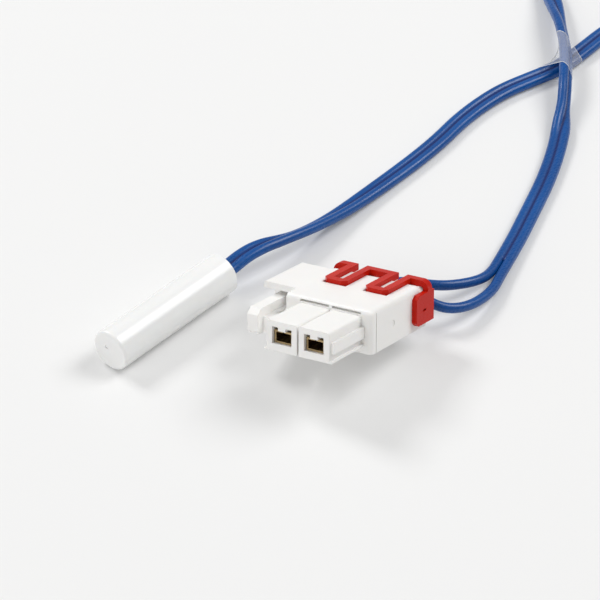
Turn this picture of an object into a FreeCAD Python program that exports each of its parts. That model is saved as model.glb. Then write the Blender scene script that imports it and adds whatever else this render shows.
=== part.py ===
import FreeCAD, Part
import math
import os
import re
import Sketcher

# Fridge temperature sensor: a capped probe on a flat twin lead that ends in a two-way plug.
# The frame is the cap's: its axis runs along Y, closed tip at -Y, lying on the plane z = 0.

doc = FreeCAD.newDocument("FridgeSensor")
sheet = doc.addObject("Spreadsheet::Sheet", "Sizes")
V = FreeCAD.Vector

# Sizes in millimetres and degrees
sizes = {
    # Probe cap and what it holds
    "cap_radius": 3.3, "cap_length": 25.0, "cap_wall": 0.6, "cap_end": 1.2,
    "cap_tip_edge": 0.4, "cap_rear_edge": 0.2, "gate_radius": 0.35, "gate_depth": 0.15, "gate_offset": 0.5,
    "potting_recess": 0.7, "bead_gap": 0.6, "bead_radius": 1.25, "bead_length": 4.2,
    "chip_length": 0.9, "chip_width": 1.0, "chip_height": 0.9, "lead_diameter": 0.32, "lead_free": 3.2,
    "joint_diameter": 1.1, "joint_length": 3.0, "joint_overlap": 1.1, "sleeve_wall": 0.2, "sleeve_lap": 0.6,
    # Lead
    "core_diameter": 1.6, "core_pitch": 1.6, "strand_diameter": 0.7, "cable_bury": 8.0,
    "core_bare": 0.8, "core_part": 0.05, "wire_bury": 10.6,
    "coil_x": 28.0, "coil_y": 137.0, "coil_radius": 16.0, "coil_stub": 12.0,
    "film_thickness": 0.1, "film_fit": 0.05,
    # Place of the plug beside the cap: its stiff lead holds it up, with one rear corner on the surface
    "plug_x": 26.04, "plug_y": 7.59, "plug_turn": 8.8, "plug_lean": 10.3, "plug_lift": 15.7,
    # Plug housing: towers, cavities and body
    "pitch": 5.6, "tower_width": 5.3, "tower_length": 8.6, "tower_bottom": 1.1, "tower_top": 5.75,
    "tower_edge": 0.35, "cavity_width": 3.4, "cavity_height": 2.6, "cavity_bottom": 2.25,
    "key_width": 1.3, "key_depth": 0.55, "key_length": 2.5,
    "rib_width": 0.6, "rib_bottom": 2.5, "rib_top": 4.2, "rib_setback": 0.5,
    "sill_width": 0.4, "sill_height": 0.4,
    "body_right": 7.3, "body_left": 7.8, "body_length": 15.0, "body_height": 6.7,
    "body_edge": 0.8, "body_front_edge": 0.7, "shelf_length": 1.8,
    "slit_width": 5.0, "slit_height": 0.3, "slit_depth": 0.8, "slit_rise": 0.25,
    "groove_place": 1.1, "groove_width": 0.2, "groove_depth": 0.15,
    "mark_radius": 0.5, "mark_depth": 0.1, "mark_place": 5.8, "mark_height": 3.2,
    "lance_window_length": 1.8, "lance_window_width": 1.6, "lance_window_setback": 0.4,
    # Latch arm and the hood over it
    "hood_left": 14.05, "hood_front": 3.3, "hood_rear": 13.3, "hood_top": 6.4, "hood_thickness": 1.0,
    "hood_wall": 1.0, "hood_wall_front": 6.2, "hood_edge": 0.35,
    "arm_left": 12.1, "arm_right": 8.6, "arm_front": 4.0, "arm_bottom": 0.8, "arm_top": 4.7,
    "arm_root_front": 5.2, "arm_root_length": 2.4, "arm_rear": 12.2, "arm_rear_top": 3.6,
    "arm_step": 10.2, "arm_ledge_top": 3.3, "arm_ledge_front": 2.6, "arm_nose": 0.9,
    "hook_front": 2.4, "hook_length": 2.2, "hook_depth": 0.8,
    # Lock plate
    "plate_bottom": 6.35, "plate_thickness": 1.0, "plate_bar": 1.2, "plate_slot": 1.6,
    "plate_spread": 3.6, "plate_shift": 0.5, "plate_length": 8.1, "plate_overhang": 0.4, "plate_corner": 0.7,
    "plate_fit": 0.1, "arch_outer": 1.3, "arch_inner": 0.4, "leg_thickness": 0.85, "leg_bottom": 1.0,
    "tab_length": 4.9, "tab_overhang": 0.6, "tab_top": 5.8, "tab_corner": 0.6,
    "notch_length": 0.9, "notch_height": 0.35, "notch_depth": 0.3, "notch_setback": 1.8, "notch_rise": 3.0,
    "tongue_width": 1.4, "tongue_length": 1.0, "tongue_gap": 0.1,
    # Crimp terminals
    "metal": 0.3, "terminal_width": 3.2, "terminal_height": 2.0, "terminal_setback": 0.5,
    "terminal_box": 7.4, "seam": 0.2, "spring_length": 4.6, "spring_drop": 0.55,
    "neck_width": 1.5, "neck_length": 1.2, "strand_crimp": 2.4, "crimp_gap": 0.8, "insulation_crimp": 1.9,
    "lance_length": 1.2, "lance_width": 1.0, "lance_drop": 0.6,
}
for row, (alias, value) in enumerate(sizes.items(), start=1):
    sheet.set("A%d" % row, alias)
    sheet.set("B%d" % row, str(value))
    sheet.setAlias("B%d" % row, alias)
doc.recompute()


def linked(text):
    """An expression in which every word is a size from the sheet."""
    return re.sub(r"[a-z]+[a-z_]*", lambda word: "Sizes." + word.group(), str(text))


def size(text):
    """The present value of such an expression."""
    return float(sheet.evalExpression(linked(text)))


def axis_plane(body, role):
    return [item for item in body.Origin.OriginFeatures if item.Role == role][0]


def new_body(label):
    body = doc.addObject("PartDesign::Body", "Body_" + label)
    body.Label = label
    return body


def new_sketch(body, role, place):
    """A sketch on one of the body's planes, moved along that plane's normal by an expression."""
    sketch = body.newObject("Sketcher::SketchObject", "Sketch")
    sketch.AttachmentSupport = (axis_plane(body, role), [""])
    sketch.MapMode = "FlatFace"
    sketch.setExpression("AttachmentOffset.Base.z", linked(place))
    return sketch


def bind(sketch, kind, geometry, point, text):
    index = sketch.addConstraint(Sketcher.Constraint(kind, -1, 1, geometry, point, size(text)))
    sketch.setExpression("Constraints[%d]" % index, linked(text))


def outline(sketch, corners):
    """A closed outline through corners, each a pair of expressions from the sketch's origin."""
    first = sketch.GeometryCount
    points = [V(size(x), size(y), 0) for x, y in corners]
    count = len(points)
    for index in range(count):
        sketch.addGeometry(Part.LineSegment(points[index], points[(index + 1) % count]), False)
    for index in range(count):
        after = first + (index + 1) % count
        sketch.addConstraint(Sketcher.Constraint("Coincident", first + index, 2, after, 1))
    for index, (x, y) in enumerate(corners):
        bind(sketch, "DistanceX", first + index, 1, x)
        bind(sketch, "DistanceY", first + index, 1, y)


def box_outline(sketch, left, right, low, high):
    outline(sketch, [(left, low), (right, low), (right, high), (left, high)])


def ring(sketch, x, y, radius):
    """A circle whose centre and radius are expressions."""
    index = sketch.addGeometry(Part.Circle(V(size(x), size(y), 0), V(0, 0, 1), size(radius)), False)
    bind(sketch, "DistanceX", index, 3, x)
    bind(sketch, "DistanceY", index, 3, y)
    constraint = sketch.addConstraint(Sketcher.Constraint("Radius", index, size(radius)))
    sketch.setExpression("Constraints[%d]" % constraint, linked(radius))


def extrude(body, kind, role, low, high, draw):
    """A pad or a pocket between two places along X, Y or Z; draw fills its sketch."""
    backward = role == "XZ_Plane"
    near, far = ("-(%s)" % high, "-(%s)" % low) if backward else (low, high)
    sketch = new_sketch(body, role, far if kind == "Pocket" else near)
    draw(sketch)
    feature = body.newObject("PartDesign::" + kind, kind)
    feature.Profile = sketch
    feature.setExpression("Length", linked("(%s) - (%s)" % (high, low)))
    doc.recompute()
    return feature


def pad(body, role, low, high, draw):
    return extrude(body, "Pad", role, low, high, draw)


def pocket(body, role, low, high, draw):
    before = body.Shape.Volume
    feature = extrude(body, "Pocket", role, low, high, draw)
    if body.Shape.Volume > before - 1e-6:
        raise ValueError("pocket in %s cuts nothing" % body.Label)
    return feature


def revolve(body, corners):
    """A turned piece about the body's Y axis, from its half outline."""
    sketch = new_sketch(body, "XY_Plane", "0")
    outline(sketch, corners)
    feature = body.newObject("PartDesign::Revolution", "Revolution")
    feature.Profile = sketch
    feature.ReferenceAxis = (sketch, ["V_Axis"])
    doc.recompute()
    return feature


def soften(body, kind, width, chosen):
    """A fillet or chamfer on the edges of the body for which chosen(edge box, edge) holds."""
    tip = body.Tip
    names = []
    for index, edge in enumerate(tip.Shape.Edges, start=1):
        if chosen(edge.BoundBox, edge):
            names.append("Edge%d" % index)
    if not names:
        raise ValueError("no edge to soften in %s" % body.Label)
    feature = body.newObject("PartDesign::" + kind, kind)
    feature.Base = (tip, names)
    feature.setExpression("Radius" if kind == "Fillet" else "Size", linked(width))
    doc.recompute()
    return feature


def near(value, text):
    return abs(value - size(text)) < 1e-4


def along(box, axis):
    """Whether an edge's box runs along one axis alone."""
    lengths = {"x": box.XLength, "y": box.YLength, "z": box.ZLength}
    return lengths.pop(axis) > 1e-4 and max(lengths.values()) < 1e-4


def place_in_cap(item):
    item.setExpression("Placement.Base.z", linked("cap_radius"))


def place_at_plug(item):
    """Turns and tilts a piece of the plug; the height puts the hood's rear corner on the surface."""
    height = ("Sizes.hood_left * sin(Sizes.plug_lean)"
              " + Sizes.hood_rear * cos(Sizes.plug_lean) * sin(Sizes.plug_lift)")
    place = "create(<<vector>>; Sizes.plug_x; Sizes.plug_y; %s)" % height
    turn = "create(<<rotation>>; Sizes.plug_turn; -Sizes.plug_lean; -Sizes.plug_lift)"
    item.setExpression("Placement", "create(<<placement>>; %s; %s)" % (place, turn))
    doc.recompute()


def rod(label, x, start, end, diameter, bore=None):
    """A round piece along the cap's axis, beside it by x, with a bore where it is a tube."""
    body = new_body(label)

    def draw(sketch):
        ring(sketch, x, "0", "(%s) / 2" % diameter)
        if bore:
            ring(sketch, x, "0", "(%s) / 2" % bore)

    pad(body, "XZ_Plane", start, end, draw)
    place_in_cap(body)
    return body


# Sensor cap, a moulded tube with a closed tip
tip_end = "-cap_length / 2"
cap = new_body("sensor_cap")
revolve(cap, [("0", tip_end), ("cap_radius", tip_end), ("cap_radius", "cap_length / 2"),
              ("cap_radius - cap_wall", "cap_length / 2"), ("cap_radius - cap_wall", "cap_end - cap_length / 2"),
              ("0", "cap_end - cap_length / 2")])
soften(cap, "Fillet", "cap_tip_edge", lambda box, edge: near(box.YMin, tip_end) and near(box.YMax, tip_end)
       and near(box.XMax, "cap_radius"))
soften(cap, "Chamfer", "cap_rear_edge", lambda box, edge: near(box.YMin, "cap_length / 2")
       and near(box.YMax, "cap_length / 2") and near(box.XMax, "cap_radius"))
pocket(cap, "XZ_Plane", tip_end, "gate_depth - cap_length / 2",
       lambda sketch: ring(sketch, "-gate_offset", "gate_offset", "gate_radius"))
place_in_cap(cap)

# Places along the cap's axis, from the closed end to the cable
hollow_end = "(cap_end - cap_length / 2)"
bead_start = "(%s + bead_gap)" % hollow_end
bead_end = "(%s + bead_length)" % bead_start
chip_start = "(%s + (bead_length - chip_length) / 2)" % bead_start
chip_end = "(%s + chip_length)" % chip_start
joint_start = "(%s + lead_free)" % bead_end
joint_end = "(%s + joint_length)" % joint_start
strand_start = "(%s - joint_overlap)" % joint_end
core_start = "(%s + core_bare)" % joint_end
twin_start = "(cap_length / 2 - cable_bury)"

# Thermistor: chip, its two leads and the drop of coating round them
chip = new_body("thermistor_chip")
pad(chip, "XZ_Plane", chip_start, chip_end,
    lambda sketch: box_outline(sketch, "-chip_width / 2", "chip_width / 2", "-chip_height / 2", "chip_height / 2"))
place_in_cap(chip)

inner = [chip]
for side, sign in (("left", "-"), ("right", "")):
    middle = "%s(core_pitch / 2 + core_part)" % sign
    lead_x = "%s(chip_width + lead_diameter) / 2" % sign
    inner.append(rod("thermistor_lead_" + side, lead_x, chip_start,
                     "%s + joint_overlap" % joint_start, "lead_diameter"))
    inner.append(rod("probe_conductor_" + side, middle, strand_start, core_start, "strand_diameter"))
    inner.append(rod("probe_core_" + side, middle, core_start, twin_start, "core_diameter"))
    joint = rod("splice_joint_" + side, middle, joint_start, joint_end, "joint_diameter")
    pocket(joint, "XZ_Plane", strand_start, joint_end,
           lambda sketch: ring(sketch, middle, "0", "strand_diameter / 2"))
    pocket(joint, "XZ_Plane", joint_start, "%s + joint_overlap" % joint_start,
           lambda sketch: ring(sketch, lead_x, "0", "lead_diameter / 2"))
    inner.append(joint)
    inner.append(rod("joint_sleeve_" + side, middle, "%s - sleeve_lap" % joint_start, joint_end,
                     "joint_diameter + 2 * sleeve_wall", "joint_diameter"))

drop = doc.addObject("PartDesign::Body", "Drop")
revolve(drop, [("0", bead_start), ("bead_radius * 0.62", "%s + bead_length * 0.06" % bead_start),
               ("bead_radius", "%s + bead_length * 0.3" % bead_start),
               ("bead_radius", "%s + bead_length * 0.62" % bead_start),
               ("bead_radius * 0.8", "%s + bead_length * 0.88" % bead_start),
               ("bead_radius * 0.7", bead_end), ("0", bead_end)])
place_in_cap(drop)


def cut_out(label, base, tools):
    """The base piece with the room that other pieces take in it."""
    group = doc.addObject("Part::Compound", "Tools_" + label)
    group.Links = tools
    result = doc.addObject("Part::Cut", "Cut_" + label)
    result.Label = label
    result.Base = base
    result.Tool = group
    doc.recompute()
    return result


coating = cut_out("bead_coating", drop, [piece for piece in inner if "thermistor" in piece.Label])


def flat_section(sketch):
    """The twin lead's cross-section: two cores side by side with the web filled."""
    half, radius = size("core_pitch / 2"), size("core_diameter / 2")
    top = sketch.addGeometry(Part.LineSegment(V(-half, radius, 0), V(half, radius, 0)), False)
    low = sketch.addGeometry(Part.LineSegment(V(half, -radius, 0), V(-half, -radius, 0)), False)
    quarter = math.pi / 2
    right = sketch.addGeometry(Part.ArcOfCircle(Part.Circle(V(half, 0, 0), V(0, 0, 1), radius),
                                                -quarter, quarter), False)
    left = sketch.addGeometry(Part.ArcOfCircle(Part.Circle(V(-half, 0, 0), V(0, 0, 1), radius),
                                               quarter, 3 * quarter), False)
    for first, start, second, end in ((top, 2, right, 2), (right, 1, low, 1), (low, 2, left, 2), (left, 1, top, 1)):
        sketch.addConstraint(Sketcher.Constraint("Coincident", first, start, second, end))
    bind(sketch, "DistanceX", right, 3, "core_pitch / 2")
    bind(sketch, "DistanceX", left, 3, "-core_pitch / 2")
    bind(sketch, "DistanceX", top, 1, "-core_pitch / 2")
    bind(sketch, "DistanceX", top, 2, "core_pitch / 2")
    bind(sketch, "DistanceY", top, 1, "core_diameter / 2")
    bind(sketch, "DistanceY", top, 2, "core_diameter / 2")
    bind(sketch, "DistanceY", low, 1, "-core_diameter / 2")
    bind(sketch, "DistanceY", low, 2, "-core_diameter / 2")
    bind(sketch, "DistanceX", low, 1, "core_pitch / 2")
    bind(sketch, "DistanceX", low, 2, "-core_pitch / 2")


# The lead's end inside the cap, and the resin that fills the cap round all of it
tail = new_body("cable_tail")
pad(tail, "XZ_Plane", twin_start, "cap_length / 2 - potting_recess", flat_section)
place_in_cap(tail)
plug_of_resin = doc.addObject("PartDesign::Body", "Resin")
bore = "cap_radius - cap_wall"
revolve(plug_of_resin, [("0", hollow_end), (bore, hollow_end), (bore, "cap_length / 2 - potting_recess"),
                        ("0", "cap_length / 2 - potting_recess")])
place_in_cap(plug_of_resin)
resin = cut_out("potting_fill", plug_of_resin, inner + [drop, tail])

# Plug housing: body, two towers, cavities, latch arm and hood are one moulding
housing = new_body("plug_housing")
pad(housing, "XY_Plane", "0", "body_height",
    lambda sketch: box_outline(sketch, "-body_left", "body_right", "0", "body_length"))
soften(housing, "Fillet", "body_front_edge", lambda box, edge: along(box, "z") and near(box.XMax, "body_right")
       and near(box.YMax, "0"))
soften(housing, "Fillet", "body_edge", lambda box, edge: along(box, "y") and near(box.XMax, "body_right")
       and near(box.ZMax, "body_height"))
middles = ("-pitch / 2", "pitch / 2")
for middle in middles:
    pad(housing, "XZ_Plane", "-tower_length", "0",
        lambda sketch: box_outline(sketch, "%s - tower_width / 2" % middle, "%s + tower_width / 2" % middle,
                                   "tower_bottom", "tower_top"))
soften(housing, "Fillet", "tower_edge", lambda box, edge: near(box.YMin, "-tower_length") and along(box, "y")
       and near(box.ZMax, "tower_top"))
tower_side = "pitch / 2 + tower_width / 2"
pad(housing, "XZ_Plane", "rib_setback - tower_length", "0",
    lambda sketch: box_outline(sketch, tower_side, "%s + rib_width" % tower_side, "rib_bottom", "rib_top"))
for side, edges in (("right", (tower_side, "%s + sill_width" % tower_side)),
                    ("left", ("-(%s) - sill_width" % tower_side, "-(%s)" % tower_side))):
    pad(housing, "XZ_Plane", "-tower_length", "0",
        lambda sketch: box_outline(sketch, edges[0], edges[1], "tower_bottom", "tower_bottom + sill_height"))

for middle in middles:
    pocket(housing, "XZ_Plane", "0", "slit_depth",
           lambda sketch: box_outline(sketch, "%s - slit_width / 2" % middle, "%s + slit_width / 2" % middle,
                                      "tower_top + slit_rise", "tower_top + slit_rise + slit_height"))
    pocket(housing, "XZ_Plane", "-tower_length", "body_length",
           lambda sketch: box_outline(sketch, "%s - cavity_width / 2" % middle, "%s + cavity_width / 2" % middle,
                                      "cavity_bottom", "cavity_bottom + cavity_height"))
    pad(housing, "XZ_Plane", "-tower_length", "key_length - tower_length",
        lambda sketch: box_outline(sketch, "%s - key_width / 2" % middle, "%s + key_width / 2" % middle,
                                   "cavity_bottom + cavity_height - key_depth", "cavity_bottom + cavity_height"))
    window_end = "-lance_window_setback"
    pocket(housing, "XY_Plane", "tower_bottom", "cavity_bottom",
           lambda sketch: box_outline(sketch, "%s - lance_window_width / 2" % middle,
                                      "%s + lance_window_width / 2" % middle,
                                      "%s - lance_window_length" % window_end, window_end))

# Latch arm beside the towers, its root on the body's left wall
def arm_outline(sketch):
    outline(sketch, [("-arm_front", "arm_bottom + arm_nose / 2"), ("arm_nose / 2 - arm_front", "arm_bottom"),
                     ("arm_root_front + arm_root_length", "arm_bottom"),
                     ("arm_rear", "arm_bottom + arm_nose"), ("arm_rear", "arm_rear_top"),
                     ("arm_root_front + arm_root_length", "arm_top"), ("arm_nose - arm_front", "arm_top"),
                     ("-arm_front", "arm_top - arm_nose")])


pad(housing, "XZ_Plane", "arm_root_front", "arm_root_front + arm_root_length",
    lambda sketch: box_outline(sketch, "-arm_step", "-body_left", "arm_bottom", "arm_top"))
pad(housing, "YZ_Plane", "-arm_left", "-arm_step", arm_outline)
pad(housing, "XZ_Plane", "-arm_ledge_front", "arm_root_front",
    lambda sketch: box_outline(sketch, "-arm_step", "-arm_right", "arm_bottom", "arm_ledge_top"))
pocket(housing, "YZ_Plane", "-arm_right - hook_depth", "-arm_right",
       lambda sketch: box_outline(sketch, "hook_front - arm_ledge_front", "hook_front + hook_length - arm_ledge_front",
                                  "arm_bottom", "arm_ledge_top"))

# Hood over the arm, with a wall on its outer side
pad(housing, "XY_Plane", "hood_top - hood_thickness", "hood_top",
    lambda sketch: box_outline(sketch, "-hood_left", "-body_left", "hood_front", "hood_rear"))
pad(housing, "XY_Plane", "0", "hood_top - hood_thickness",
    lambda sketch: box_outline(sketch, "-hood_left", "hood_wall - hood_left", "hood_wall_front", "hood_rear"))
soften(housing, "Fillet", "hood_edge", lambda box, edge: along(box, "y") and near(box.XMin, "-hood_left")
       and near(box.ZMax, "hood_top"))

# Seat of the lock plate: a shelf at the rear, two U recesses and the windows for the tongues
shelf_start = "(body_length - shelf_length)"
plate_rear = "(body_length + plate_overhang)"
plate_front = "(%s - plate_length)" % plate_rear
pocket(housing, "XY_Plane", "plate_bottom", "body_height",
       lambda sketch: box_outline(sketch, "-body_left", "body_right", shelf_start, "body_length"))
bevel = "(arch_inner + plate_fit)"
for edge_x, bevel_x in (("-body_left", "%s - body_left" % bevel), ("body_right", "body_right - %s" % bevel)):
    pocket(housing, "XZ_Plane", shelf_start, "body_length",
           lambda sketch: outline(sketch, [(edge_x, "plate_bottom"), (edge_x, "plate_bottom - %s" % bevel),
                                           (bevel_x, "plate_bottom")]))


def u_outline(sketch, middle, grow, front, rear):
    """A U that opens to the rear, its legs a bar wide each side of the slot."""
    outer = "(plate_slot / 2 + plate_bar + %s)" % grow
    slot = "(plate_slot / 2 - %s)" % grow
    bar = "(%s) + plate_bar + 2 * %s" % (front, grow)
    outline(sketch, [("%s - %s" % (middle, outer), front), ("%s + %s" % (middle, outer), front),
                     ("%s + %s" % (middle, outer), rear), ("%s + %s" % (middle, slot), rear),
                     ("%s + %s" % (middle, slot), bar), ("%s - %s" % (middle, slot), bar),
                     ("%s - %s" % (middle, slot), rear), ("%s - %s" % (middle, outer), rear)])


tongue_front = "(%s + (plate_bar - tongue_length) / 2)" % plate_front
for middle in ("-plate_spread - plate_shift", "plate_spread - plate_shift"):
    pocket(housing, "XY_Plane", "plate_bottom", "body_height",
           lambda sketch: u_outline(sketch, middle, "plate_fit", "%s - plate_fit" % plate_front, shelf_start))
for middle in middles:
    pocket(housing, "XY_Plane", "cavity_bottom + cavity_height", "plate_bottom",
           lambda sketch: box_outline(sketch, "%s - tongue_width / 2 - plate_fit" % middle,
                                      "%s + tongue_width / 2 + plate_fit" % middle,
                                      "%s - plate_fit" % tongue_front,
                                      "%s + tongue_length + plate_fit" % tongue_front))

# Marks of the mould on the right side
pocket(housing, "YZ_Plane", "body_right - groove_depth", "body_right",
       lambda sketch: box_outline(sketch, "groove_place", "groove_place + groove_width", "0", "body_height"))
pocket(housing, "YZ_Plane", "body_right - mark_depth", "body_right",
       lambda sketch: ring(sketch, "mark_place", "mark_height", "mark_radius"))
place_at_plug(housing)

# Lock plate: a meander on top, an arch down each side and a tab on the right
plate = new_body("lock_plate")
plate_top = "plate_bottom + plate_thickness"
arm_front_y = "(%s - plate_bar)" % plate_rear
inner_leg = "(plate_spread - plate_slot / 2 - plate_bar)"
outer_leg = "(plate_spread + plate_slot / 2 + plate_bar)"
slot_inner = "(plate_spread - plate_slot / 2)"
slot_outer = "(plate_spread + plate_slot / 2)"
slot_front = "(%s + plate_bar)" % plate_front
corner_y = "%s + plate_corner" % plate_front
leg_right = "(body_right + leg_thickness)"
leg_left = "(body_left + leg_thickness)"


def meander(sketch):
    slot = [(slot_outer, plate_rear), (slot_outer, slot_front), (slot_inner, slot_front), (slot_inner, plate_rear)]
    front = [(inner_leg, arm_front_y), (inner_leg, corner_y), ("%s + plate_corner" % inner_leg, plate_front),
             ("%s - plate_corner" % outer_leg, plate_front), (outer_leg, corner_y), (outer_leg, arm_front_y)]
    right_slot, right_front = [[(x + " - plate_shift", y) for x, y in run] for run in (slot, front)]
    left_slot, left_front = [[("-(%s) - plate_shift" % x, y) for x, y in reversed(run)] for run in (slot, front)]
    outline(sketch, [(leg_right, plate_rear)] + right_slot + left_slot + [("-" + leg_left, plate_rear)]
            + [("-" + leg_left, arm_front_y)] + left_front + right_front + [(leg_right, arm_front_y)])


pad(plate, "XY_Plane", "plate_bottom", plate_top, meander)
pad(plate, "XZ_Plane", arm_front_y, plate_rear,
    lambda sketch: box_outline(sketch, "body_right", leg_right, "leg_bottom", "plate_bottom"))
pad(plate, "XZ_Plane", arm_front_y, plate_rear,
    lambda sketch: box_outline(sketch, "-" + leg_left, "-body_left", "leg_bottom", "plate_bottom"))
soften(plate, "Fillet", "arch_outer", lambda box, edge: along(box, "y") and near(box.ZMax, plate_top)
       and (near(box.XMax, leg_right) or near(box.XMin, "-" + leg_left)))
soften(plate, "Fillet", "arch_inner", lambda box, edge: along(box, "y") and near(box.ZMax, "plate_bottom")
       and (near(box.XMax, "body_right") or near(box.XMin, "-body_left")))
tab_rear = "(%s + tab_overhang)" % plate_rear
tab_front = "(%s - tab_length)" % tab_rear
pad(plate, "YZ_Plane", "body_right", leg_right,
    lambda sketch: outline(sketch, [(tab_front, "leg_bottom + tab_corner"),
                                    ("%s + tab_corner" % tab_front, "leg_bottom"),
                                    (tab_rear, "leg_bottom"), (tab_rear, "tab_top"),
                                    ("%s + tab_corner" % tab_front, "tab_top"), (tab_front, "tab_top - tab_corner")]))
pocket(plate, "YZ_Plane", "%s - notch_depth" % leg_right, leg_right,
       lambda sketch: box_outline(sketch, "%s + notch_setback" % tab_front,
                                  "%s + notch_setback + notch_length" % tab_front,
                                  "notch_rise", "notch_rise + notch_height"))
for middle in middles:
    pad(plate, "XY_Plane", "cavity_bottom + metal + core_diameter + metal + tongue_gap", "plate_bottom",
        lambda sketch: box_outline(sketch, "%s - tongue_width / 2" % middle, "%s + tongue_width / 2" % middle,
                                   tongue_front, "%s + tongue_length" % tongue_front))
place_at_plug(plate)

# Crimp terminals on the floors of the cavities
box_front = "(terminal_setback - tower_length)"
box_rear = "(%s + terminal_box)" % box_front
strand_crimp_start = "(%s + neck_length)" % box_rear
strand_crimp_end = "(%s + strand_crimp)" % strand_crimp_start
grip_start = "(%s + crimp_gap)" % strand_crimp_end
grip_end = "(%s + insulation_crimp)" % grip_start
floor, roof = "cavity_bottom", "cavity_bottom + terminal_height"
strand_z = "cavity_bottom + metal + strand_diameter / 2"
wire_z = "cavity_bottom + metal + core_diameter / 2"
for side, middle in (("left", "-pitch / 2"), ("right", "pitch / 2")):
    terminal = new_body("terminal_" + side)
    half = "terminal_width / 2"

    def box_tube(sketch):
        outline(sketch, [("%s - seam / 2" % middle, roof), ("%s - %s" % (middle, half), roof),
                         ("%s - %s" % (middle, half), floor), ("%s + %s" % (middle, half), floor),
                         ("%s + %s" % (middle, half), roof), ("%s + seam / 2" % middle, roof),
                         ("%s + seam / 2" % middle, "%s - metal" % roof),
                         ("%s + %s - metal" % (middle, half), "%s - metal" % roof),
                         ("%s + %s - metal" % (middle, half), "%s + metal" % floor),
                         ("%s - %s + metal" % (middle, half), "%s + metal" % floor),
                         ("%s - %s + metal" % (middle, half), "%s - metal" % roof),
                         ("%s - seam / 2" % middle, "%s - metal" % roof)])

    pad(terminal, "XZ_Plane", box_front, box_rear, box_tube)
    rise = "%s + metal" % floor
    pad(terminal, "YZ_Plane", "%s - neck_width / 2" % middle, "%s + neck_width / 2" % middle,
        lambda sketch: outline(sketch, [("%s + metal" % box_front, rise),
                                        ("%s + spring_length" % box_front, rise),
                                        ("%s + spring_length / 2" % box_front, "%s + spring_drop" % rise)]))
    pad(terminal, "XZ_Plane", box_rear, grip_end,
        lambda sketch: box_outline(sketch, "%s - neck_width / 2" % middle, "%s + neck_width / 2" % middle,
                                   floor, "%s + metal * 0.9" % floor))
    for start, end, height, bore in ((strand_crimp_start, strand_crimp_end, strand_z, "strand_diameter"),
                                     (grip_start, grip_end, wire_z, "core_diameter")):
        def barrel(sketch):
            ring(sketch, middle, height, "%s / 2 + metal" % bore)
            ring(sketch, middle, height, "%s / 2" % bore)

        pad(terminal, "XZ_Plane", start, end, barrel)
    pad(terminal, "YZ_Plane", "%s - lance_width / 2" % middle, "%s + lance_width / 2" % middle,
        lambda sketch: outline(sketch, [("-lance_window_setback - lance_length", floor),
                                        ("-lance_window_setback", "%s - lance_drop" % floor),
                                        ("-lance_window_setback", floor)]))
    place_at_plug(terminal)

    conductor = new_body("plug_conductor_" + side)
    wire_start = "(body_length - wire_bury)"
    pad(conductor, "XZ_Plane", strand_crimp_start, wire_start,
        lambda sketch: ring(sketch, middle, strand_z, "strand_diameter / 2"))
    place_at_plug(conductor)
    end = new_body("crimped_wire_" + side)
    pad(end, "XZ_Plane", wire_start, "body_length",
        lambda sketch: ring(sketch, middle, wire_z, "core_diameter / 2"))
    place_at_plug(end)


def stretch(points):
    """Straight runs through the points, joined by tangent arcs as large as the runs allow."""
    edges = []
    radii = []
    last = points[0]
    for before, corner, after in zip(points, points[1:], points[2:]):
        back, ahead = before - corner, after - corner
        shorter = min(back.Length, ahead.Length)
        turn = math.pi - back.getAngle(ahead)
        radius = 0.45 * shorter / math.tan(turn / 2)
        radii.append(round(radius, 1))
        back.normalize()
        ahead.normalize()
        start = corner + back * 0.45 * shorter
        finish = corner + ahead * 0.45 * shorter
        bisector = back + ahead
        bisector.normalize()
        sag = radius / math.cos(turn / 2) - radius
        edges.append(Part.LineSegment(last, start).toShape())
        edges.append(Part.Arc(start, corner + bisector * sag, finish).toShape())
        last = finish
    edges.append(Part.LineSegment(last, points[-1]).toShape())
    return Part.Wire(edges), radii


def section(centre, ahead, flat):
    """The lead's outline square to its first run: a flat twin, or one round core."""
    radius = size("core_diameter / 2")
    across = ahead.cross(V(0, 0, 1))
    across.normalize()
    up = across.cross(ahead)
    up.normalize()
    if not flat:
        return Part.Wire([Part.Circle(centre, ahead, radius).toShape()])
    half = size("core_pitch / 2")
    right, left = centre + across * half, centre - across * half
    return Part.Wire([Part.LineSegment(left + up * radius, right + up * radius).toShape(),
                      Part.Arc(right + up * radius, right + across * radius, right - up * radius).toShape(),
                      Part.LineSegment(right - up * radius, left - up * radius).toShape(),
                      Part.Arc(left - up * radius, left - across * radius, left + up * radius).toShape()])


def cord(label, route, flat):
    """A length of lead along a route of points; prints its bends and compares its volume."""
    points = [V(*point) for point in route]
    path, radii = stretch(points)
    face = Part.Face(section(points[0], points[1] - points[0], flat))
    item = doc.addObject("Part::Feature", "Cord_" + label)
    item.Label = label
    item.Shape = path.makePipe(face)
    print(label, "length", round(path.Length, 1), "radii", min(radii), "to", max(radii),
          "volume over section times length", round(item.Shape.Volume / (face.Area * path.Length), 4))
    return item


def plug_point(x, y, z):
    """A point of the plug's own frame, seen from the cap's frame."""
    return housing.Placement.multVec(V(size(x), size(y), size(z)))


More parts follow.
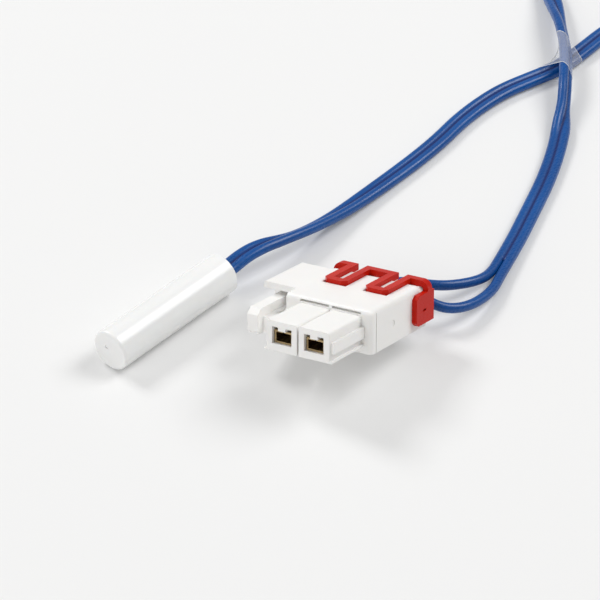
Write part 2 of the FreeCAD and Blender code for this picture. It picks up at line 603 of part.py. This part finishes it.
# The lead lies on the surface, runs past the plug and is coiled at its far end
rest = size("core_diameter / 2")
film_rest = rest + size("film_thickness + film_fit")
over = film_rest + size("core_diameter") + 0.1
coil_low = size("coil_y - coil_radius")
coil_high = size("coil_y + coil_radius")
stub_x = size("coil_x - coil_stub")
sensor_route = [
    (0, size("cap_length / 2 - potting_recess"), size("cap_radius")), (0, 13.6, size("cap_radius")),
    (0.3, 17.2, 4.1), (0.9, 20.6, 4.2), (1.6, 23.8, 3.7), (2.1, 27.0, 3.1), (2.3, 30.6, 2.45), (2.3, 34.2, 1.85),
    (2.2, 38.4, 1.3), (2.0, 44.1, 0.9), (1.9, 51.3, rest), (1.7, 58.5, rest), (1.2, 64.5, rest), (0.3, 70.3, rest),
    (0.0, 76.0, rest), (0.4, 81.7, film_rest), (1.7, 87.0, film_rest), (3.0, 91.6, film_rest),
    (3.5, 95.7, film_rest), (3.3, 101.2, film_rest), (2.9, 106.0, rest), (3.0, coil_low - 10.4, rest),
    (5.0, coil_low - 5.6, rest), (8.7, coil_low - 2.0, rest), (13.4, coil_low, rest), (stub_x, coil_low, rest)]
cord("sensor_cable", sensor_route[::-1], True)

plug_route = [
    (stub_x, coil_high, 3 * rest), (11.0, coil_high, 3 * rest), (5.6, coil_high, 1.7 * rest),
    (-0.2, coil_high - 0.6, rest), (-9.8, coil_high - 4.6, rest), (-16.8, coil_high - 12.6, rest),
    (-19.9, 130.6, rest), (-19.6, 121.6, rest), (-16.4, 114.9, 1.05 * rest), (-9.7, 108.7, 1.5), (-3.2, 102.3, over),
    (2.2, 97.0, over), (7.2, 90.3, over), (10.6, 85.5, 1.5), (16.0, 77.1, rest), (20.9, 67.4, rest),
    (24.6, 57.8, rest), (27.3, 50.8, rest), (29.2, 45.3, 1.0)]
cord("plug_cable", plug_route, True)

# Past the split the two cores part and enter the plug's rear
split = V(*plug_route[-1])
heading = split - V(*plug_route[-2])
heading.normalize()
beside = heading.cross(V(0, 0, 1)) * size("core_pitch / 2")
left_entry = plug_point("-pitch / 2", "body_length", wire_z)
left_run = plug_point("-pitch / 2", "body_length + 4.4", wire_z)
right_entry = plug_point("pitch / 2", "body_length", wire_z)
right_run = plug_point("pitch / 2", "body_length + 2.6", wire_z)
cord("plug_wire_left", [tuple(split + beside), tuple(split + beside + heading * 3), (29.8, 39.2, 1.6), (29.0, 35.6, 2.4),
                        (27.0, 32.0, 3.1), (22.8, 29.2, 3.5), tuple(left_run), tuple(left_entry)], False)
cord("plug_wire_right", [tuple(split - beside), tuple(split - beside + heading * 3.6), (32.6, 38.5, 1.4),
                         (33.1, 34.0, 2.0), (32.7, 30.4, 2.8), (31.2, 27.9, 3.5), (28.7, 26.9, 4.3),
                         tuple(right_run), tuple(right_entry)], False)

# The coil of spare lead, one turn and a half, as the ring that its turns fill
coil = new_body("cable_coil")
outer = "coil_radius + (core_pitch + core_diameter) / 2"
hollow = "coil_radius - (core_pitch + core_diameter) / 2"


def coil_ring(sketch):
    ring(sketch, "coil_x", "coil_y", outer)
    ring(sketch, "coil_x", "coil_y", hollow)


pad(coil, "XY_Plane", "0", "2 * core_diameter", coil_ring)
pad(coil, "XY_Plane", "0", "core_diameter",
    lambda sketch: box_outline(sketch, "coil_x - coil_stub", "coil_x", "coil_y - (%s)" % outer,
                               "coil_y - (%s)" % hollow))
pad(coil, "XY_Plane", "core_diameter", "2 * core_diameter",
    lambda sketch: box_outline(sketch, "coil_x - coil_stub", "coil_x", "coil_y + (%s)" % hollow,
                               "coil_y + (%s)" % outer))

# A turn of clear tape holds the two strands together where they cross
film = size("film_thickness")
far_edge = [(1.07, 98.0, 0), (4.61, 98.0, 0), (5.18, 98.0, 0.55), (5.18, 98.0, 1.54), (3.05, 98.0, 3.66),
            (-0.56, 98.0, 3.66), (-1.26, 98.0, 2.96), (-1.26, 98.0, 2.32)]
near_edge = [(1.44, 90.5, 0), (7.07, 90.5, 0), (9.17, 90.5, 2.08), (9.17, 90.5, 2.99), (8.56, 90.5, 3.59),
             (3.12, 90.5, 3.59), (0.86, 90.5, 1.34), (0.86, 90.5, 0.56)]


def film_loft(inset):
    loops = []
    for edge in (far_edge, near_edge):
        loop = Part.makePolygon([V(*point) for point in edge + edge[:1]])
        loops.append(loop.makeOffset2D(-inset) if inset else loop)
    return Part.makeLoft(loops, True, True)


tape = doc.addObject("Part::Feature", "Tape")
tape.Label = "clear_tape"
tape.Shape = film_loft(0).cut(film_loft(film))
doc.recompute()

names = ["sensor_cap", "potting_fill", "thermistor_chip", "bead_coating", "cable_tail", "sensor_cable",
         "cable_coil", "plug_cable", "plug_housing", "lock_plate", "clear_tape"]
for stem in ("thermistor_lead", "probe_conductor", "probe_core", "splice_joint", "joint_sleeve",
             "plug_wire", "crimped_wire", "plug_conductor", "terminal"):
    names += [stem + "_left", stem + "_right"]
for item in doc.Objects:
    if "Invalid" in item.State or "Error" in item.State:
        raise ValueError("%s failed: %s" % (item.Label, item.State))
os.makedirs("parts", exist_ok=True)
for name in names:
    item = doc.getObjectsByLabel(name)[0]
    shape = item.Shape
    if shape.isNull() or not shape.isValid() or len(shape.Solids) != 1:
        raise ValueError("%s has no single valid solid" % name)
    shape.exportStep("parts/%s.step" % name)
    print(name, round(shape.Volume, 2), "mm3")
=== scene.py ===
import math
import bpy
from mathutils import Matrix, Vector


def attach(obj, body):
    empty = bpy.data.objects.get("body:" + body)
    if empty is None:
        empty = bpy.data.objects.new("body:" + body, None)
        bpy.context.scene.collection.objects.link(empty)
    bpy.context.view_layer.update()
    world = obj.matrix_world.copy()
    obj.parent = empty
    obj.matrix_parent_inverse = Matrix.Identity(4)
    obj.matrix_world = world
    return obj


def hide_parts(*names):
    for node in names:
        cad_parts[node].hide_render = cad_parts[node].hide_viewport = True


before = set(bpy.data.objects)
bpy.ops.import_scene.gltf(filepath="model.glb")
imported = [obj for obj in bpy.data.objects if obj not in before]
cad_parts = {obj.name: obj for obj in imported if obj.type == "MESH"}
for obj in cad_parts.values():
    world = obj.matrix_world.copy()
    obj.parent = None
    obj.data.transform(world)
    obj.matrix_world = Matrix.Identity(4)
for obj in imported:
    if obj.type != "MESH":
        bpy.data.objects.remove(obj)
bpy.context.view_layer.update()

# Fridge temperature sensor: capped probe, flat blue twin lead and a white two-way plug.
scene = bpy.context.scene
scene.view_settings.view_transform = "Standard"
mm = 0.001


def newMaterial(name):
    material = bpy.data.materials.new(name)
    material.use_nodes = True
    tree = material.node_tree
    tree.nodes.clear()
    output = tree.nodes.new("ShaderNodeOutputMaterial")
    shader = tree.nodes.new("ShaderNodeBsdfPrincipled")
    tree.links.new(shader.outputs["BSDF"], output.inputs["Surface"])
    return material, tree, shader


def addNoise(tree, scale, detail=4.0, stretch=(1, 1, 1)):  # noise in the part's own metres
    place = tree.nodes.new("ShaderNodeTexCoord")
    mapping = tree.nodes.new("ShaderNodeMapping")
    mapping.inputs["Scale"].default_value = stretch
    noise = tree.nodes.new("ShaderNodeTexNoise")
    noise.inputs["Scale"].default_value = scale
    noise.inputs["Detail"].default_value = detail
    tree.links.new(place.outputs["Object"], mapping.inputs["Vector"])
    tree.links.new(mapping.outputs["Vector"], noise.inputs["Vector"])
    return noise


def addRamp(tree, source, low, high, start=0.3, end=0.7):  # two colours or greys across a texture
    ramp = tree.nodes.new("ShaderNodeValToRGB")
    ramp.color_ramp.elements[0].position = start
    ramp.color_ramp.elements[1].position = end
    ramp.color_ramp.elements[0].color = low
    ramp.color_ramp.elements[1].color = high
    tree.links.new(source, ramp.inputs["Fac"])
    return ramp


def addBump(tree, shader, source, height, edge=0.0):  # both in metres; edge rounds the shading of corners
    bump = tree.nodes.new("ShaderNodeBump")
    bump.inputs["Strength"].default_value = 1.0
    bump.inputs["Distance"].default_value = height
    tree.links.new(source, bump.inputs["Height"])
    if edge:
        bevel = tree.nodes.new("ShaderNodeBevel")
        bevel.samples = 6
        bevel.inputs["Radius"].default_value = edge
        tree.links.new(bevel.outputs["Normal"], bump.inputs["Normal"])
    tree.links.new(bump.outputs["Normal"], shader.inputs["Normal"])


def grey(value):
    return (value, value, value, 1)


# grooveFrom and grooveTo set the width of the painted shade along the lead's groove
grains = {  # scales in 1/m, heights and radii in metres
    "mouldClouds": 130.0, "sheathClouds": 90.0, "softRadius": (1.0, 0.8, 0.6), "softScale": 0.0008,
    "metalHeight": 0.000004, "metalEdge": 0.00005, "grooveFrom": 0.006, "grooveTo": 0.028}

mouldings = {  # two tones, roughness, grain in 1/m and its height, edge rounding, depth of light, shine
    "capWhite": {"tone": (0.87, 0.87, 0.86, 1), "pale": (0.89, 0.89, 0.88, 1), "rough": (0.18, 0.24),
                 "grain": 1500, "height": 0.000001, "edge": 0.0, "soft": 0.10, "shine": 0.5},
    "housingWhite": {"tone": (0.88, 0.87, 0.85, 1), "pale": (0.91, 0.90, 0.88, 1), "rough": (0.34, 0.44),
                     "grain": 5200, "height": 0.000006, "edge": 0.00008, "soft": 0.12, "shine": 0.4},
    "lockRed": {"tone": (0.47, 0.006, 0.001, 1), "pale": (0.57, 0.014, 0.003, 1), "rough": (0.26, 0.36),
                "grain": 5200, "height": 0.000006, "edge": 0.00008, "soft": 0.0, "shine": 0.15},
    "resinPale": {"tone": (0.62, 0.60, 0.52, 1), "pale": (0.70, 0.68, 0.60, 1), "rough": (0.18, 0.30),
                  "grain": 1400, "height": 0.00002, "edge": 0.0, "soft": 0.3, "shine": 0.5},
    "beadBlack": {"tone": (0.012, 0.011, 0.010, 1), "pale": (0.022, 0.020, 0.018, 1), "rough": (0.20, 0.34),
                  "grain": 2400, "height": 0.00002, "edge": 0.0, "soft": 0.0, "shine": 0.5},
    "chipCeramic": {"tone": (0.045, 0.042, 0.040, 1), "pale": (0.070, 0.066, 0.062, 1), "rough": (0.55, 0.70),
                    "grain": 9000, "height": 0.00001, "edge": 0.00005, "soft": 0.0, "shine": 0.4},
    "sleeveClear": {"tone": (0.62, 0.62, 0.58, 1), "pale": (0.68, 0.68, 0.64, 1), "rough": (0.30, 0.42),
                    "grain": 3000, "height": 0.00001, "edge": 0.0, "soft": 0.2, "shine": 0.5},
}


def mouldedPlastic(name):
    look = mouldings[name]
    material, tree, shader = newMaterial(name)
    clouds = addNoise(tree, grains["mouldClouds"], 3.0)
    grain = addNoise(tree, look["grain"], 5.0)
    colour = addRamp(tree, clouds.outputs["Fac"], look["tone"], look["pale"])
    rough = addRamp(tree, grain.outputs["Fac"], grey(look["rough"][0]), grey(look["rough"][1]))
    tree.links.new(colour.outputs["Color"], shader.inputs["Base Color"])
    tree.links.new(rough.outputs["Color"], shader.inputs["Roughness"])
    shader.inputs["Specular IOR Level"].default_value = look["shine"]
    shader.inputs["Subsurface Weight"].default_value = look["soft"]
    shader.inputs["Subsurface Radius"].default_value = grains["softRadius"]
    shader.inputs["Subsurface Scale"].default_value = grains["softScale"]
    addBump(tree, shader, grain.outputs["Fac"], look["height"], look["edge"])
    return material


metals = {  # base colour, darker tone, roughness, streak scale and the way the streaks run
    "terminalBrass": {"tone": (0.34, 0.24, 0.12, 1), "pale": (0.52, 0.40, 0.22, 1), "rough": (0.26, 0.42),
                      "streaks": 1800, "stretch": (1, 0.12, 1)},
    "strandCopper": {"tone": (0.70, 0.30, 0.14, 1), "pale": (0.90, 0.48, 0.28, 1), "rough": (0.22, 0.36),
                     "streaks": 5200, "stretch": (1, 0.25, 1)},
    "jointTin": {"tone": (0.52, 0.51, 0.48, 1), "pale": (0.72, 0.71, 0.68, 1), "rough": (0.28, 0.45),
                 "streaks": 2200, "stretch": (1, 1, 1)},
    "leadWire": {"tone": (0.58, 0.57, 0.54, 1), "pale": (0.74, 0.73, 0.70, 1), "rough": (0.18, 0.30),
                 "streaks": 4000, "stretch": (1, 0.1, 1)},
}


def rolledMetal(name):
    look = metals[name]
    material, tree, shader = newMaterial(name)
    streaks = addNoise(tree, look["streaks"], 4.0, look["stretch"])
    colour = addRamp(tree, streaks.outputs["Fac"], look["tone"], look["pale"])
    rough = addRamp(tree, streaks.outputs["Fac"], grey(look["rough"][0]), grey(look["rough"][1]))
    tree.links.new(colour.outputs["Color"], shader.inputs["Base Color"])
    tree.links.new(rough.outputs["Color"], shader.inputs["Roughness"])
    shader.inputs["Metallic"].default_value = 1.0
    addBump(tree, shader, streaks.outputs["Fac"], grains["metalHeight"], grains["metalEdge"])
    return material


# tone and pale vary at random; the third colour is painted shade, a darker blue laid along the groove between
# the cores
sheath = {"tone": (0.002, 0.060, 0.250, 1), "pale": (0.004, 0.084, 0.320, 1),
          "web": (0.008, 0.022, 0.125, 1), "rough": (0.24, 0.33), "grain": 3800,
          "height": 0.000001, "shine": 0.42}


def leadSheath(name, webbed):  # blue sheath; with the groove flag set, painted shade darkens the groove between its cores at v 0 and 0.5
    material, tree, shader = newMaterial(name)
    clouds = addNoise(tree, grains["sheathClouds"], 3.0)
    grain = addNoise(tree, sheath["grain"], 4.0, (1, 0.3, 1))
    colour = addRamp(tree, clouds.outputs["Fac"], sheath["tone"], sheath["pale"])
    rough = addRamp(tree, grain.outputs["Fac"], grey(sheath["rough"][0]), grey(sheath["rough"][1]))
    result = colour.outputs["Color"]
    if webbed:
        around = tree.nodes.new("ShaderNodeUVMap")
        around.uv_map = "lay"
        split = tree.nodes.new("ShaderNodeSeparateXYZ")
        fold = tree.nodes.new("ShaderNodeMath")
        fold.operation = "PINGPONG"
        fold.inputs[1].default_value = 0.25
        # painted shade: near v 0 and 0.5 the colour is mixed towards the darker groove blue
        groove = addRamp(tree, fold.outputs[0], grey(1), grey(0), grains["grooveFrom"], grains["grooveTo"])
        mix = tree.nodes.new("ShaderNodeMix")
        mix.data_type = "RGBA"
        mix.inputs[7].default_value = sheath["web"]
        tree.links.new(around.outputs["UV"], split.inputs["Vector"])
        tree.links.new(split.outputs["Y"], fold.inputs[0])
        tree.links.new(groove.outputs["Color"], mix.inputs[0])
        tree.links.new(result, mix.inputs[6])
        result = mix.outputs[2]
    tree.links.new(result, shader.inputs["Base Color"])
    tree.links.new(rough.outputs["Color"], shader.inputs["Roughness"])
    shader.inputs["Specular IOR Level"].default_value = sheath["shine"]
    addBump(tree, shader, grain.outputs["Fac"], sheath["height"])
    return material


film = {"tint": (0.93, 0.95, 0.98, 1), "alpha": 0.13, "rimAlpha": 0.62, "rough": 0.10,
        "creases": 420, "height": 0.00006}


def clearFilm(name, alpha):
    material, tree, shader = newMaterial(name)
    creases = addNoise(tree, film["creases"], 3.0, (1, 0.35, 1))
    colour = addRamp(tree, creases.outputs["Fac"], film["tint"], (1, 1, 1, 1))
    tree.links.new(colour.outputs["Color"], shader.inputs["Base Color"])
    shader.inputs["Roughness"].default_value = film["rough"]
    shader.inputs["Alpha"].default_value = alpha
    addBump(tree, shader, creases.outputs["Fac"], film["height"])
    return material


finishes = {name: mouldedPlastic(name) for name in mouldings}
finishes.update({name: rolledMetal(name) for name in metals})
finishes["leadBlue"] = leadSheath("leadBlue", True)
finishes["coreBlue"] = leadSheath("coreBlue", False)
finishes["tapeClear"] = clearFilm("tapeClear", film["alpha"])
finishes["tapeRim"] = clearFilm("tapeRim", film["rimAlpha"])
print("finishes ready")


def dress(finish, *names):
    for name in names:
        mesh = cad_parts[name].data
        mesh.materials.clear()
        mesh.materials.append(finishes[finish])


dress("capWhite", "sensor_cap")
dress("housingWhite", "plug_housing")
dress("lockRed", "lock_plate")
dress("resinPale", "potting_fill")
dress("beadBlack", "bead_coating")
dress("chipCeramic", "thermistor_chip")
for side in ("left", "right"):
    dress("terminalBrass", "terminal_" + side)
    dress("strandCopper", "probe_conductor_" + side, "plug_conductor_" + side)
    dress("jointTin", "splice_joint_" + side)
    dress("leadWire", "thermistor_lead_" + side)
    dress("sleeveClear", "joint_sleeve_" + side)
    dress("coreBlue", "probe_core_" + side, "crimped_wire_" + side)
dress("coreBlue", "cable_tail")
print("rigid pieces dressed")


def eased(start, stop, value):  # 0 before start, 1 past stop, smooth between them
    part = min(1.0, max(0.0, (value - start) / (stop - start)))
    return part * part * (3 - 2 * part)


def smoothLine(route):  # the points of the route's own smooth spline
    curve = bpy.data.curves.new("route", "CURVE")
    curve.dimensions = "3D"
    curve.resolution_u = 16
    spline = curve.splines.new("NURBS")
    spline.points.add(len(route) - 1)
    for place, point in zip(spline.points, route):
        place.co = (point[0] * mm, point[1] * mm, point[2] * mm, 1)
    spline.order_u = 3
    spline.use_endpoint_u = True
    holder = bpy.data.objects.new("route", curve)
    mesh = bpy.data.meshes.new_from_object(holder)
    line = [corner.co.copy() for corner in mesh.vertices]
    bpy.data.objects.remove(holder)
    bpy.data.meshes.remove(mesh)
    bpy.data.curves.remove(curve)
    return line


def sweep(name, line, section, turnAt, finish, tuck=None):
    # A section drawn along a line. turnAt gives its roll, tuck the length and depth of its narrowing end.
    vertices = []
    faces = []
    count = len(section)
    travelled = 0.0
    lengths = []
    total = sum((b - a).length for a, b in zip(line, line[1:]))
    for index, place in enumerate(line):
        before = line[max(index - 1, 0)]
        after = line[min(index + 1, len(line) - 1)]
        ahead = (after - before).normalized()
        across = ahead.cross(Vector((0, 0, 1))).normalized()
        up = across.cross(ahead)
        roll = turnAt(place, travelled)
        sideways = across * math.cos(roll) + up * math.sin(roll)
        upright = up * math.cos(roll) - across * math.sin(roll)
        size = 1 - tuck[1] * eased(total - tuck[0], total, travelled) if tuck else 1
        vertices += [place + (sideways * x + upright * z) * size for x, z in section]
        lengths.append(travelled)
        travelled += (after - place).length
    for ring in range(len(line) - 1):
        for step in range(count):
            nextStep = (step + 1) % count
            low, high = ring * count, (ring + 1) * count
            faces.append((low + step, low + nextStep, high + nextStep, high + step))
    faces.append(tuple(reversed(range(count))))
    faces.append(tuple(range((len(line) - 1) * count, len(line) * count)))
    mesh = bpy.data.meshes.new(name)
    mesh.from_pydata(vertices, [], faces)
    layer = mesh.uv_layers.new(name="lay")
    for polygon in mesh.polygons:
        ring, step = divmod(polygon.index, count)
        if polygon.index < (len(line) - 1) * count:
            corners = [(ring, step), (ring, step + 1), (ring + 1, step + 1), (ring + 1, step)]
            for loop, (along, turn) in zip(polygon.loop_indices, corners):
                layer.data[loop].uv = (lengths[along] * 100, turn / count)
            polygon.use_smooth = True
    mesh.materials.append(finishes[finish])
    mesh.validate()
    piece = bpy.data.objects.new(name, mesh)
    scene.collection.objects.link(piece)
    return piece


lead = {  # section in mm, sway along the travelled metres, the rest by y in mm
    "radius": 0.8, "coreRadius": 0.8, "apart": 0.8, "webDrop": 0.36, "arcStart": 122, "arcSteps": 14,
    "sway": 0.05, "swayRate": 61, "swayIn": 40, "calm": (47.0, 62.0), "tuck": (0.0009, 0.05),
    "capStretch": 0.09, "lean": math.radians(36), "leanPlace": 27.5, "leanBefore": 6.0, "leanAfter": 14.0,
    "edgeTurn": math.radians(68), "edgeRise": (77.0, 84.5), "edgeFall": (110.0, 100.0),
    "edgeHeight": 0.0012, "edgeEnd": 118, "edgeX": 9}


def twinSection():  # two cores side by side with a shallow groove between them
    half = []
    start, stop = math.radians(lead["arcStart"]), math.radians(-lead["arcStart"])
    for step in range(lead["arcSteps"] + 1):
        angle = start + (stop - start) * step / lead["arcSteps"]
        half.append((lead["apart"] + lead["radius"] * math.cos(angle),
                     lead["radius"] * math.sin(angle)))
    groove = lead["radius"] - lead["webDrop"]
    points = [(0, groove)] + half + [(0, -groove)] + [(-x, z) for x, z in reversed(half)]
    return [(x * mm, z * mm) for x, z in points]


def roundSection(radius, steps=28):
    angles = [2 * math.pi * step / steps for step in range(steps)]
    return [(radius * mm * math.cos(angle), -radius * mm * math.sin(angle)) for angle in angles]


probeRoute = [  # from the cap to the coil, in mm
    (0, 11.8, 3.3), (0, 13.6, 3.3), (0.3, 17.2, 4.1), (0.9, 20.6, 4.2), (1.6, 23.8, 3.7),
    (2.1, 27.0, 3.1), (2.3, 30.6, 2.45), (2.3, 34.2, 1.85), (2.2, 38.4, 1.3), (2.0, 44.1, 0.9),
    (1.9, 51.3, 0.8), (1.7, 58.5, 0.8), (1.2, 64.5, 0.8), (0.3, 70.3, 0.8), (0.0, 76.0, 0.8),
    (0.4, 81.7, 0.95), (1.7, 87.0, 0.95), (3.0, 91.6, 0.95), (3.5, 95.7, 0.95), (3.3, 101.2, 0.95),
    (2.9, 106.0, 0.8), (3.0, 110.6, 0.8), (5.0, 115.4, 0.8), (8.7, 119.0, 0.8), (13.4, 121.0, 0.8),
    (16.0, 121.0, 0.8)]
plugRoute = [  # from the coil to the split, in mm
    (16.0, 153.0, 2.4), (11.0, 153.0, 2.4), (5.6, 153.0, 1.36), (-0.2, 152.4, 0.8), (-9.8, 148.4, 0.8),
    (-16.8, 140.4, 0.8), (-19.9, 130.6, 0.8), (-19.6, 121.6, 0.8), (-16.2, 114.8, 0.95),
    (-9.2, 108.3, 2.0), (-2.4, 101.4, 3.3), (2.9, 96.0, 3.5), (7.9, 89.3, 3.5), (11.0, 84.9, 2.1),
    (16.1, 77.1, 0.9), (20.9, 67.4, 0.8), (24.6, 57.8, 0.8), (27.3, 50.8, 0.8), (29.2, 45.3, 1.0)]
coil = {"x": 28.0, "y": 137.0, "radius": 16.56, "points": 18, "step": 30, "start": -75,
        "low": 0.8, "riseFrom": 165, "rise": {165: 0.8, 195: 1.2, 225: 2.0}, "high": 2.4}


def coilRoute():  # a turn and a half, the second half turn lying on the first
    points = []
    for index in range(coil["points"]):
        angle = coil["start"] + coil["step"] * index
        height = coil["low"] if angle < coil["riseFrom"] else coil["rise"].get(angle, coil["high"])
        points.append((coil["x"] + coil["radius"] * math.cos(math.radians(angle)),
                       coil["y"] + coil["radius"] * math.sin(math.radians(angle)), height))
    return points


def leadRoll(place, travelled):  # leaning as it leaves the cap, on its edge where it crosses over
    y = place.y / mm
    roll = lead["sway"] * math.sin(travelled * lead["swayRate"]) * min(1, travelled * lead["swayIn"])
    if travelled < lead["capStretch"]:
        spread = lead["leanBefore"] if y < lead["leanPlace"] else lead["leanAfter"]
        away = (y - lead["leanPlace"]) / spread
        return roll + lead["lean"] * math.exp(-away * away)
    if y < lead["edgeEnd"] and (place.z > lead["edgeHeight"] or place.x > lead["edgeX"] * mm):
        roll *= eased(*lead["calm"], y)
        return roll + lead["edgeTurn"] * eased(*lead["edgeRise"], y) * eased(*lead["edgeFall"], y)
    return roll


leadLine = smoothLine(probeRoute + coilRoute() + plugRoute)
leadPiece = sweep("twin_lead", leadLine, twinSection(), leadRoll, "leadBlue", lead["tuck"])
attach(leadPiece, "root")
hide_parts("sensor_cable", "cable_coil", "plug_cable")
leadLength = sum((b - a).length for a, b in zip(leadLine, leadLine[1:]))
print("lead drawn,", round(leadLength, 4), "m")

coreRoutes = {  # each core starts a little inside the lead
    "left": [(28.118, 45.984, 0.966), (28.444, 45.039, 1.0), (29.423, 42.205, 1.103),
             (29.8, 39.2, 1.6), (29.0, 35.6, 2.4), (27.0, 32.0, 3.1), (22.8, 29.2, 3.5),
             (20.679, 26.576, 3.561), (21.117, 22.358, 4.732)],
    "right": [(29.630, 46.506, 0.966), (29.956, 45.561, 1.0), (31.131, 42.160, 1.124),
              (32.6, 38.5, 1.4), (33.1, 34.0, 2.0), (32.7, 30.4, 2.8), (31.2, 27.9, 3.5),
              (28.7, 26.9, 4.3), (26.303, 25.693, 5.041), (26.562, 23.200, 5.733)],
}
corePieces = {}
for side, route in coreRoutes.items():
    corePieces[side] = sweep("plug_core_" + side, smoothLine(route), roundSection(lead["coreRadius"]),
                             lambda place, travelled: 0.0, "coreBlue")
    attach(corePieces[side], "root")
    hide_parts("plug_wire_" + side)
print("parted cores drawn")


tape = {"from": 90.6, "to": 97.9, "stations": 26, "around": 44, "slack": 0.03, "thickness": 0.05,
        "rim": 0.014, "near": 0.004, "lowest": 0.00002}


def cutPoints(piece, count, level):  # where the long edges of a swept piece pass y = level
    corners = piece.data.vertices
    found = []
    for first in range(0, len(corners) - 2 * count + 1, count):
        y0, y1 = corners[first].co.y, corners[first + count].co.y
        if min(y0, y1) - tape["near"] > level or max(y0, y1) + tape["near"] < level:
            continue
        for step in range(count):
            a, b = corners[first + step].co, corners[first + count + step].co
            if (a.y - level) * (b.y - level) <= 0 and a.y != b.y:
                part = (level - a.y) / (b.y - a.y)
                found.append((a.x + (b.x - a.x) * part, a.z + (b.z - a.z) * part))
    return found


def tapeWrap():  # clear film drawn tight round both strands, station by station
    vertices = []
    around = tape["around"]
    inner = tape["stations"] - 3
    between = [tape["rim"] + (1 - 2 * tape["rim"]) * step / inner for step in range(inner + 1)]
    parts = [0] + between + [1]
    for sheet in (tape["slack"], tape["slack"] + tape["thickness"]):
        for part in parts:
            level = (tape["from"] + (tape["to"] - tape["from"]) * part) * mm
            points = cutPoints(leadPiece, len(twinSection()), level)
            for step in range(around):
                angle = 2 * math.pi * step / around
                reach = (math.cos(angle), math.sin(angle))
                x, z = max(points, key=lambda point: point[0] * reach[0] + point[1] * reach[1])
                height = max(z + sheet * mm * reach[1], tape["lowest"])
                vertices.append(Vector((x + sheet * mm * reach[0], level, height)))
    faces = []
    shift = tape["stations"] * around
    for station in range(tape["stations"] - 1):
        for step in range(around):
            a, b = station * around + step, station * around + (step + 1) % around
            faces.append((a, b, b + around, a + around))
            faces.append((b + shift, a + shift, a + around + shift, b + around + shift))
    for rim in (0, (tape["stations"] - 1) * around):
        for step in range(around):
            a, b = rim + step, rim + (step + 1) % around
            faces.append((b, a, a + shift, b + shift) if rim == 0 else (a, b, b + shift, a + shift))
    mesh = bpy.data.meshes.new("tape_wrap")
    mesh.from_pydata(vertices, [], faces)
    mesh.polygons.foreach_set("use_smooth", [True] * len(mesh.polygons))
    mesh.materials.append(finishes["tapeClear"])
    mesh.materials.append(finishes["tapeRim"])
    strip = 2 * around
    for polygon in mesh.polygons:  # the cut edges of the film catch more light
        first, last = polygon.index < strip, polygon.index >= (tape["stations"] - 2) * strip
        polygon.material_index = 1 if first or last else 0
    mesh.validate()
    piece = bpy.data.objects.new("tape_wrap", mesh)
    scene.collection.objects.link(piece)
    return piece


tapePiece = tapeWrap()
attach(tapePiece, "root")
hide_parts("clear_tape")
print("tape wrapped")


view = {"place": (243.49, -248.10, 286.52), "aim": (10.72, 18.37, 0.0), "lens": 177.53, "sensor": 36}
cameraData = bpy.data.cameras.new("camera")
cameraData.lens = view["lens"]
cameraData.sensor_width = view["sensor"]
cameraData.clip_start = 0.01
camera = bpy.data.objects.new("camera", cameraData)
camera.location = Vector(view["place"]) * mm
direction = (Vector(view["aim"]) - Vector(view["place"])).normalized()
camera.rotation_euler = direction.to_track_quat("-Z", "Y").to_euler()
scene.collection.objects.link(camera)
scene.camera = camera

floorLook = {"size": 6.0, "colour": (0.82, 0.82, 0.815, 1), "rough": 0.6, "glow": 0.12}
mesh = bpy.data.meshes.new("floor")
reach = floorLook["size"] / 2
corners = [(-reach, -reach, 0), (reach, -reach, 0), (reach, reach, 0), (-reach, reach, 0)]
mesh.from_pydata(corners, [], [(0, 1, 2, 3)])
floor = bpy.data.objects.new("floor", mesh)
scene.collection.objects.link(floor)
floorMaterial, tree, shader = newMaterial("floorPale")
shader.inputs["Base Color"].default_value = floorLook["colour"]
shader.inputs["Roughness"].default_value = floorLook["rough"]
rays = tree.nodes.new("ShaderNodeLightPath")
glow = tree.nodes.new("ShaderNodeEmission")
blend = tree.nodes.new("ShaderNodeMixShader")
amount = tree.nodes.new("ShaderNodeMath")
amount.operation = "MULTIPLY"
amount.inputs[1].default_value = floorLook["glow"]
tree.links.new(rays.outputs["Is Camera Ray"], amount.inputs[0])
tree.links.new(amount.outputs[0], blend.inputs[0])
tree.links.new(shader.outputs["BSDF"], blend.inputs[1])
tree.links.new(glow.outputs["Emission"], blend.inputs[2])
output = [node for node in tree.nodes if node.bl_idname == "ShaderNodeOutputMaterial"][0]
tree.links.new(blend.outputs["Shader"], output.inputs["Surface"])
mesh.materials.append(floorMaterial)

studio = {"colour": (1, 1, 1, 1), "strength": 0.34, "aim": (0.015, 0.05, 0)}
world = bpy.data.worlds.new("studio")
scene.world = world
world.use_nodes = True
world.node_tree.nodes["Background"].inputs["Color"].default_value = studio["colour"]
world.node_tree.nodes["Background"].inputs["Strength"].default_value = studio["strength"]

lamps = {  # a wide window behind, which draws the bright stripe along the cap, a smaller lamp and a fill
    "window": {"place": (0.36, 0.62, 0.80), "size": 0.55, "power": 5.9},
    "side": {"place": (-0.80, 0.05, 0.76), "size": 0.30, "power": 5.0},
    "front": {"place": (0.00, -0.90, 0.42), "size": 0.7, "power": 3.4},
}
for name, lamp in lamps.items():
    light = bpy.data.lights.new(name, "AREA")
    light.size = lamp["size"]
    light.energy = lamp["power"]
    item = bpy.data.objects.new(name, light)
    item.location = lamp["place"]
    aim = Vector(studio["aim"]) - Vector(lamp["place"])
    item.rotation_euler = aim.to_track_quat("-Z", "Y").to_euler()
    scene.collection.objects.link(item)
print("camera and studio placed")


loosePieces = [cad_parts["plug_housing"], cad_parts["lock_plate"], tapePiece]
for side in ("left", "right"):
    loosePieces.append(corePieces[side])
    loosePieces += [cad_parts[name + side] for name in ("crimped_wire_", "plug_conductor_", "terminal_")]
